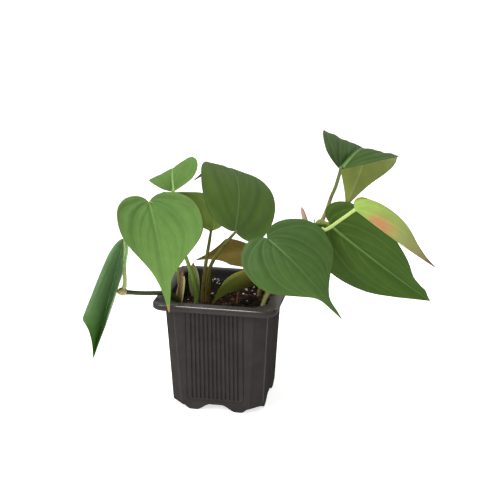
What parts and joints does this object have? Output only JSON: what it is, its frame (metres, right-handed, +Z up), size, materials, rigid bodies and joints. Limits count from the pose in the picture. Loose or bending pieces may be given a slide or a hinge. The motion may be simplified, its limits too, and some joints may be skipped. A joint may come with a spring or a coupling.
{
  "type": "potted philodendron",
  "caption": "Young heart-leaf philodendron with velvety drip-tipped leaves, growing from bark soil in a square black nursery pot with grooved sides.",
  "frame": {"origin": "on the floor under the middle of the whole plant's bounding box; the pot's axis stands at x = -0.0299 m, y = -0.0054 m", "axes": "+Z up, -Y the front that the picture looks at, +X to its right, along the spread of the leaves"},
  "size_m": [0.2806, 0.1292, 0.2236],
  "materials": {
    "pot": "satin moulded plastic",
    "soil": "loose bark and peat",
    "stem_left_runner": "green living stem",
    "petiole_front_left": "green living stem",
    "petiole_small_leaf": "green living stem",
    "stem_olive_fork": "olive brown living stem",
    "stem_right_vine": "green living stem",
    "petiole_bronze_leaf": "beige green living stem",
    "petiole_centre_right": "beige green living stem",
    "petiole_young": "pale green living stem",
    "new_shoot": "smooth young shoot",
    "stick": "dry bark",
    "leaf_front_left": "velvety leaf",
    "leaf_small_back_left": "velvety leaf",
    "leaf_dark_back_left": "velvety leaf",
    "leaf_tall_centre": "velvety leaf",
    "leaf_bronze": "velvety leaf",
    "leaf_centre_right": "velvety leaf",
    "leaf_low_inside": "velvety leaf",
    "leaf_big_right": "velvety leaf",
    "leaf_top_right": "velvety leaf",
    "leaf_young": "velvety leaf",
    "leaf_far_left": "velvety leaf",
    "sheath_brown": "dry papery sheath",
    "sheath_green": "dry papery sheath",
    "sheath_winged": "dry papery sheath"
  },
  "bodies": {
    "root": {"pot": "pot", "soil": "soil", "stem_left_runner": "stem_left_runner", "petiole_front_left": "petiole_front_left", "petiole_small_leaf": "petiole_small_leaf", "stem_olive_fork": "stem_olive_fork", "stem_right_vine": "stem_right_vine", "petiole_bronze_leaf": "petiole_bronze_leaf", "petiole_centre_right": "petiole_centre_right", "petiole_young": "petiole_young", "new_shoot": "new_shoot", "stick": "stick", "leaf_front_left": "leaf_front_left", "leaf_small_back_left": "leaf_small_back_left", "leaf_dark_back_left": "leaf_dark_back_left", "leaf_tall_centre": "leaf_tall_centre", "leaf_bronze": "leaf_bronze", "leaf_centre_right": "leaf_centre_right", "leaf_low_inside": "leaf_low_inside", "leaf_big_right": "leaf_big_right", "leaf_top_right": "leaf_top_right", "leaf_young": "leaf_young", "leaf_far_left": "leaf_far_left", "sheath_brown": "sheath_brown", "sheath_green": "sheath_green", "sheath_winged": "sheath_winged"}
  },
  "joints": []
}
